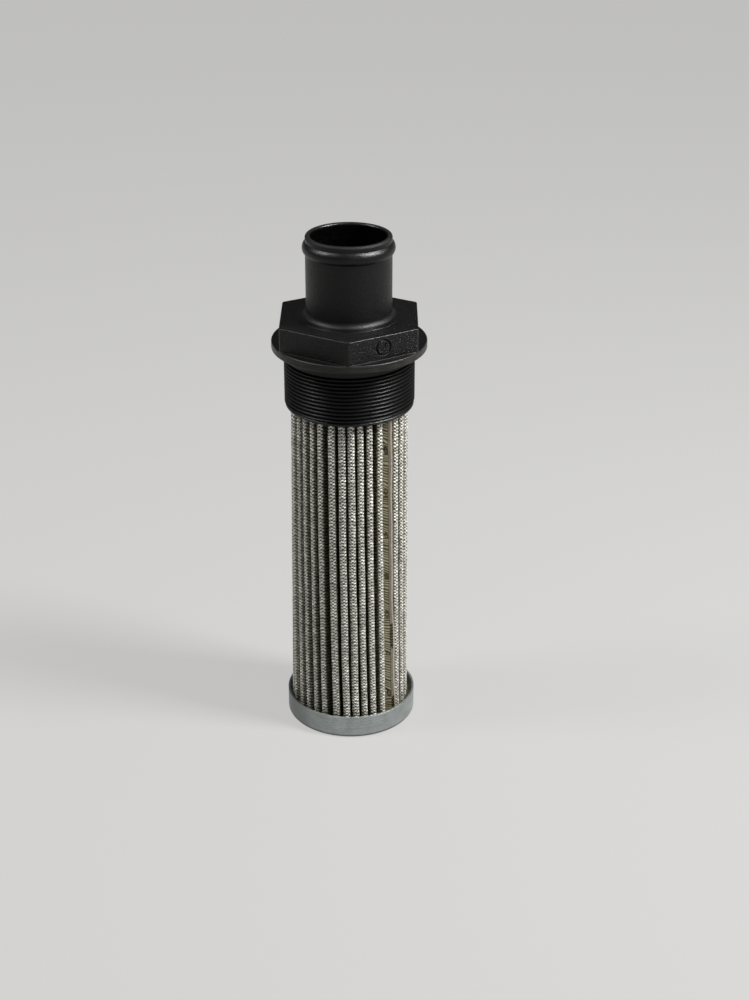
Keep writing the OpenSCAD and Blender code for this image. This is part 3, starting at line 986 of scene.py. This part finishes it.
def head_rows():
    """Rows of the head's section from the foot of the skirt up the outside, in over the rim, down
    the bore and the pocket, each with a radius at every angle. Round edges are arcs."""
    hex_foot_r = hexagon(0)
    skirt = np.concatenate([
        [(POCKET_R + POCKET_CHAMFER, skirt_z), (LAND_R - LEAD_CHAMFER - EDGE_CUT, skirt_z)],
        [(LAND_R - LEAD_CHAMFER + EDGE_CUT / 2, skirt_z + EDGE_CUT / 2)],
        [(LAND_R - EDGE_CUT, skirt_z + LEAD_CHAMFER - EDGE_CUT)],
        [(LAND_R, skirt_z + LEAD_CHAMFER + EDGE_CUT)],
        [(LAND_R, skirt_z + LAND_TOP - EDGE_CUT), (LAND_R - EDGE_CUT / 2, skirt_z + LAND_TOP)],
        [(ROOT_R, skirt_z + LAND_TOP + LAND_SLOPE), (ROOT_R, flange_z - 2 * NECK_FILLET)],
        arc((ROOT_R + NECK_FILLET, flange_z - NECK_FILLET), NECK_FILLET, 180, 90, 4),
        [(flange_r - FLANGE_EDGE - EDGE_ROW, flange_z)],
        arc((flange_r - FLANGE_EDGE, flange_z + FLANGE_EDGE), FLANGE_EDGE, -90, 0, 5),
        [(flange_r, flange_z + FLANGE_EDGE + EDGE_ROW), (flange_r, hex_z - FLANGE_EDGE - EDGE_ROW)],
    ])
    flange_top = arc((flange_r - FLANGE_EDGE, hex_z - FLANGE_EDGE), FLANGE_EDGE, 0, 90, 5)
    flange_rows = level_rows(np.maximum(flange_top[:, :1], hex_foot_r), flange_top[:, 1])
    foot = arc((HEX_FOOT, hex_z + HEX_FOOT), HEX_FOOT, 270, 180, 3)
    foot_r = [np.minimum(hexagon(-inset), flange_r) for inset in foot[:, 0]]
    foot_rows = level_rows(foot_r, foot[:, 1] + FOOT_LIFT)
    side_z = np.concatenate([
        [hex_z + HEX_FOOT + EDGE_ROW],
        np.arange(mark_z - MARK_R - MARK_RING / 2, mark_z + MARK_R + MARK_RING / 2, MARK_ROW),
        [tail_z - HEX_EDGE - EDGE_ROW],
    ])
    flat_share = hex_foot_r / HEX_HALF
    side_rows = level_rows([hex_foot_r - flat_share * mark_recess(level) for level in side_z], side_z)
    edge = arc((-HEX_EDGE, tail_z - HEX_EDGE), HEX_EDGE, 0, 90, 5)
    edge_rows = level_rows([hexagon(-inset) for inset in edge[:, 0]], edge[:, 1])
    top_share = np.array(TOP_SHARES)[:, None]
    top_r = hexagon(HEX_EDGE) * (1 - top_share) + STEP_R * top_share
    top_rows = level_rows(top_r, np.full(len(TOP_SHARES), tail_z))
    bead_arc_r = (BEAD_W**2 / 4 + BEAD_PROUD**2) / (2 * BEAD_PROUD)
    bead_end = math.degrees(math.asin(BEAD_W / 2 / bead_arc_r))
    bead_z = top_z - BEAD_TO_TOP
    step_z = tail_z + STEP_H
    tail = np.concatenate([
        [(STEP_R + EDGE_CUT / 2, tail_z), (STEP_R, tail_z + EDGE_CUT / 2)],
        arc((STEP_R - STEP_ROUND, step_z - STEP_ROUND), STEP_ROUND, 0, 90, 3),
        [(TAIL_R + FOOT_FILLET + EDGE_CUT, step_z)],
        arc((TAIL_R + FOOT_FILLET, step_z + FOOT_FILLET), FOOT_FILLET, 270, 180, 9),
        [(TAIL_R, step_z + FOOT_FILLET + ABOVE_FILLET)],
        [(TAIL_R, bead_z - BEAD_W / 2 - below) for below in BELOW_BEAD],
        arc((TAIL_R + BEAD_PROUD - bead_arc_r, bead_z), bead_arc_r, -bead_end, bead_end, 16),
        [(TAIL_R, bead_z + BEAD_W / 2 + ABOVE_BEAD), (TAIL_R, top_z - RIM_ROUND - EDGE_ROW)],
        arc((TAIL_R - RIM_ROUND, top_z - RIM_ROUND), RIM_ROUND, 0, 90, 6),
        arc((BORE_R + RIM_ROUND, top_z - RIM_ROUND), RIM_ROUND, 90, 180, 6),
        [(BORE_R, top_z - RIM_ROUND - EDGE_ROW), (BORE_R, tail_z), (BORE_R, pocket_z + EDGE_ROW)],
        [(BORE_R, pocket_z), (POCKET_R, pocket_z), (POCKET_R, pocket_z - EDGE_ROW)],
        [(POCKET_R, skirt_z + POCKET_CHAMFER)],
    ])
    outside = [round_rows(skirt), flange_rows, foot_rows, side_rows, edge_rows, top_rows]
    return np.concatenate([*outside, round_rows(tail)])


def band(tree, value, low, high, edge):
    """1 between two values and 0 beyond them, with smooth edges of that width inside."""
    above = ramp(tree, value, low, low + edge)
    return calculate(tree, "MULTIPLY", above, ramp(tree, value, high - edge, high, 1.0, 0.0))


def black_nylon(name, grain_height, satin_range):
    """Black nylon off a spark-eroded mould: satin, with a coarse and a fine grain of that height on the
    hexagon's faces and weaker ones on the tail's wall and elsewhere, a few specks of dust, a duller lip
    and foot of the tail, a smoother bore, and a rim on the flange that is paler in streaks."""
    material, tree, shader = new_material(name)
    place = object_place(tree)
    coarse = mottle(tree, place, GRAIN_COARSE, contrast=2.2)
    fine = mottle(tree, place, GRAIN_FINE, contrast=1.4)
    fine_part = calculate(tree, "MULTIPLY", fine, 1 - COARSE_SHARE)
    grain = calculate(tree, "MULTIPLY_ADD", coarse, COARSE_SHARE, fine_part)
    peaks = calculate(tree, "POWER", calculate(tree, "MULTIPLY", coarse, fine), 2.0)
    body = blend(tree, peaks, NYLON_DARK, NYLON_PALE)
    around = add_node(tree, "ShaderNodeVectorMath", {0: place, 1: (1, 1, 0)}, operation="MULTIPLY")
    length = add_node(tree, "ShaderNodeVectorMath", {0: around.outputs[0]}, operation="LENGTH")
    from_axis = length.outputs["Value"]
    height = parts(tree, place)[2]
    rim = ramp(tree, from_axis, *(flange_r - inside for inside in RIM_BAND))
    rim = calculate(tree, "MULTIPLY", rim, ramp(tree, height, hex_z - EDGE_CUT, hex_z, 1.0, 0.0))
    streaks = mottle(tree, object_place(tree, RIM_STREAK_STRETCH), 1.0, contrast=1.6)
    rim_streaks = calculate(tree, "MULTIPLY", rim, streaks)
    dust = ramp(tree, mottle(tree, place, DUST_SIZE, contrast=1.0), *DUST_SPAN)
    streaked_body = blend(tree, rim_streaks, body, NYLON_RIM_PALE)
    lip = ramp(tree, height, *(top_z - below for below in LIP_BAND), 0.0, LIP_ROUGH)
    foot_z = tail_z + STEP_H
    wall_z = foot_z + FOOT_FILLET
    foot = band(tree, height, foot_z, wall_z, edge=0.6)
    dull = calculate(tree, "MAXIMUM", lip, calculate(tree, "MULTIPLY", foot, FOOT_ROUGH))
    satin = calculate(tree, "MAXIMUM", ramp(tree, grain, 0.0, 1.0, *satin_range), dull)
    bore = ramp(tree, from_axis, *(BORE_R + outside for outside in BORE_BAND), BORE_SMOOTH, 1.0)
    side = ramp(tree, height, *(tail_z - below for below in TOP_BAND), 1.0, 0.0)
    top = calculate(tree, "COMPARE", height, tail_z, TOP_MARGIN)
    above_flange = ramp(tree, height, *(hex_z + above for above in FLANGE_BAND))
    faces = calculate(tree, "MULTIPLY", calculate(tree, "MAXIMUM", side, top), above_flange)
    wall_end = top_z - BEAD_TO_TOP - BEAD_W / 2
    wall = band(tree, height, wall_z + WALL_MARGIN, wall_end - WALL_MARGIN, edge=1.0)
    grained = calculate(tree, "MAXIMUM", faces, calculate(tree, "MULTIPLY", wall, WALL_GRAIN))
    strength = ramp(tree, grained, 0.0, 1.0, PLAIN_GRAIN, 1.0)
    feed_all(tree, shader, {
        "Base Color": blend(tree, dust, streaked_body, NYLON_DUST),
        "Roughness": calculate(tree, "MULTIPLY", satin, bore),
        "Specular IOR Level": 0.26,
        "Normal": relief(tree, grain, grain_height, strength),
    })
    return material


rows = head_rows()
head_points = np.concatenate([polar(rows[..., 0], head_turns), rows[..., 1:]], -1).reshape(-1, 3)
head_faces = [grid_quads(len(rows), len(head_turns), close_rows=True)]
nylon = black_nylon("black_nylon", NYLON_GRAIN, NYLON_SATIN)
head = add_piece("head_moulding", head_points, head_faces, nylon, "black_nylon", sharp=35)
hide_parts("head")

# Thread
# A right-hand metric fine thread moulded on the skirt, with a plain neck above it and a plain land
# below. Its ridge fades out at both ends.
THREAD_PITCH = 1.5
CREST_R = 24.9
CREST_W = 0.1875
FLANK_W = 0.531
CREST_ROUND = 0.06
NECK_W = 3.8
RIDGES = 12
# How far the helix runs on beyond the first and the last ridge at the front
RUN_OUT = 150
THREAD_STEPS = 160
FADE_TURN = 40
ROOT_SINK = 0.08
# Half width of the rounding at each edge of the crest
CREST_EDGE = 0.03
THREAD_GRAIN = 0.01
THREAD_SATIN = (0.28, 0.34)
thread_high = flange_z - NECK_W - CREST_W / 2 - FLANK_W


def thread_ridge():
    """Points of the ridge: a trapezoid section, sunk a little into the skirt, carried up a helix by
    one pitch a turn. Near both ends its height over the root fades to nothing."""
    angle = np.linspace(-360 * (RIDGES - 1) - RUN_OUT, RUN_OUT, THREAD_STEPS * RIDGES + 1)
    rise = thread_high + THREAD_PITCH * angle / 360
    fade = np.clip(np.minimum(angle - angle[0], angle[-1] - angle) / FADE_TURN, 0, 1) ** 0.5
    half = CREST_W / 2
    foot = half + FLANK_W
    tall = CREST_R - ROOT_R
    up = np.array([-ROOT_SINK, 0, tall - CREST_ROUND, tall, tall, tall - CREST_ROUND, 0, -ROOT_SINK])
    inner = half - CREST_EDGE
    outer = half + CREST_EDGE
    along = np.array([-foot, -foot, -outer, -inner, inner, outer, foot, foot])
    lift = np.where(up > 0, up * fade[:, None] - 0.5 * ROOT_SINK * (1 - fade[:, None]), up)
    place = polar(ROOT_R + lift, angle[:, None])
    height = np.broadcast_to(rise[:, None] + along, lift.shape)
    return np.concatenate([place, height[..., None]], -1)


ridge = thread_ridge()
sections, corners = ridge.shape[:2]
ridge_points = ridge.reshape(-1, 3)
ridge_start = np.arange(corners)[None, :]
ridge_end = (sections - 1) * corners + ridge_start[:, ::-1]
ridge_faces = [grid_quads(sections, corners)[:, ::-1], ridge_start, ridge_end]
smooth_nylon = black_nylon("smooth_nylon", THREAD_GRAIN, THREAD_SATIN)
thread = add_piece("thread_ridge", ridge_points, ridge_faces, smooth_nylon, "black_nylon", sharp=50)
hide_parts("head")

# Floor and light
# A plain pale floor under a weak sky, a tall soft light high on each side of the strainer, the right
# one the stronger, and a weak fill from the front.
FLOOR_HALF = 40000
FLOOR_COLOUR = (0.22, 0.22, 0.217, 1)
# Colour of the floor in the soft light that it throws back on the strainer
FLOOR_BOUNCE = (0.19, 0.19, 0.188, 1)
# Colours of the backdrop before the strainer and far behind it, the depths between which one passes
# into the other, and the share of it in what is seen
BACKDROP_NEAR = (0.717, 0.709, 0.695, 1)
BACKDROP_FAR = (0.738, 0.734, 0.72, 1)
BACKDROP_SPAN = (-250, 950)
BACKDROP_SHARE = 0.68
SKY_COLOUR = (0.97, 0.98, 1.0, 1)
SKY_STRENGTH = 0.08
FILL_PLACE = (300, -560, 400)
FILL_STRENGTH = 0.4
FILL_SPREAD = 90
# Place, size across and up, and power of each light; all face the middle of the strainer
LIGHTS = {
    "right_light": ((533, -163, 720), (180, 320), 19.5),
    "left_light": ((-530, -75, 700), (160, 300), 5.4),
}
LIGHT_AIM = (0, 0, 100)


def pale_floor():
    """Matt paint. The camera and reflections see most of it as an even glow, a little paler far behind,
    and the rest as lit, so that the backdrop is plain and still takes a soft shadow."""
    material, tree, shader = new_material("pale_floor")
    path = add_node(tree, "ShaderNodeLightPath").outputs
    mirrored = calculate(tree, "MAXIMUM", path["Is Glossy Ray"], path["Is Transmission Ray"])
    seen = calculate(tree, "MAXIMUM", path["Is Camera Ray"], mirrored)
    feed_all(tree, shader, {
        "Base Color": blend(tree, seen, FLOOR_BOUNCE, FLOOR_COLOUR),
        "Roughness": 0.8,
        "Specular IOR Level": 0.2,
    })
    depth = parts(tree, object_place(tree))[1]
    backdrop = blend(tree, ramp(tree, depth, *BACKDROP_SPAN), BACKDROP_NEAR, BACKDROP_FAR)
    glow = add_node(tree, "ShaderNodeEmission", {"Color": backdrop}).outputs[0]
    share = calculate(tree, "MULTIPLY", seen, BACKDROP_SHARE)
    mixed = add_node(tree, "ShaderNodeMixShader", {0: share, 1: shader.outputs[0], 2: glow}).outputs[0]
    feed(tree, tree.nodes["Material Output"].inputs["Surface"], mixed)
    return material


floor_mesh = bpy.data.meshes.new("floor")
floor_corners = np.array([(-1, -1, 0), (1, -1, 0), (1, 1, 0), (-1, 1, 0)]) * FLOOR_HALF * MM
floor_mesh.from_pydata(floor_corners.tolist(), [], [(0, 1, 2, 3)])
floor_mesh.materials.append(pale_floor())
floor = bpy.data.objects.new("floor", floor_mesh)
bpy.context.scene.collection.objects.link(floor)

fill_data = bpy.data.lights.new("front_fill", "SUN")
fill_data.energy = FILL_STRENGTH
fill_data.angle = math.radians(FILL_SPREAD)
fill = bpy.data.objects.new("front_fill", fill_data)
fill.rotation_euler = (-Vector(FILL_PLACE)).to_track_quat("-Z", "Y").to_euler()
bpy.context.scene.collection.objects.link(fill)

for name, (place, size, power) in LIGHTS.items():
    light_data = bpy.data.lights.new(name, "AREA")
    light_data.shape = "RECTANGLE"
    light_data.size = size[0] * MM
    light_data.size_y = size[1] * MM
    light_data.energy = power
    light = bpy.data.objects.new(name, light_data)
    light.location = Vector(place) * MM
    light.rotation_euler = ((Vector(LIGHT_AIM) - Vector(place)) * MM).to_track_quat("-Z", "Y").to_euler()
    bpy.context.scene.collection.objects.link(light)

world = bpy.data.worlds.new("studio")
world.use_nodes = True
world.node_tree.nodes["Background"].inputs["Color"].default_value = SKY_COLOUR
world.node_tree.nodes["Background"].inputs["Strength"].default_value = SKY_STRENGTH
bpy.context.scene.world = world
bpy.context.scene.view_settings.view_transform = "Standard"
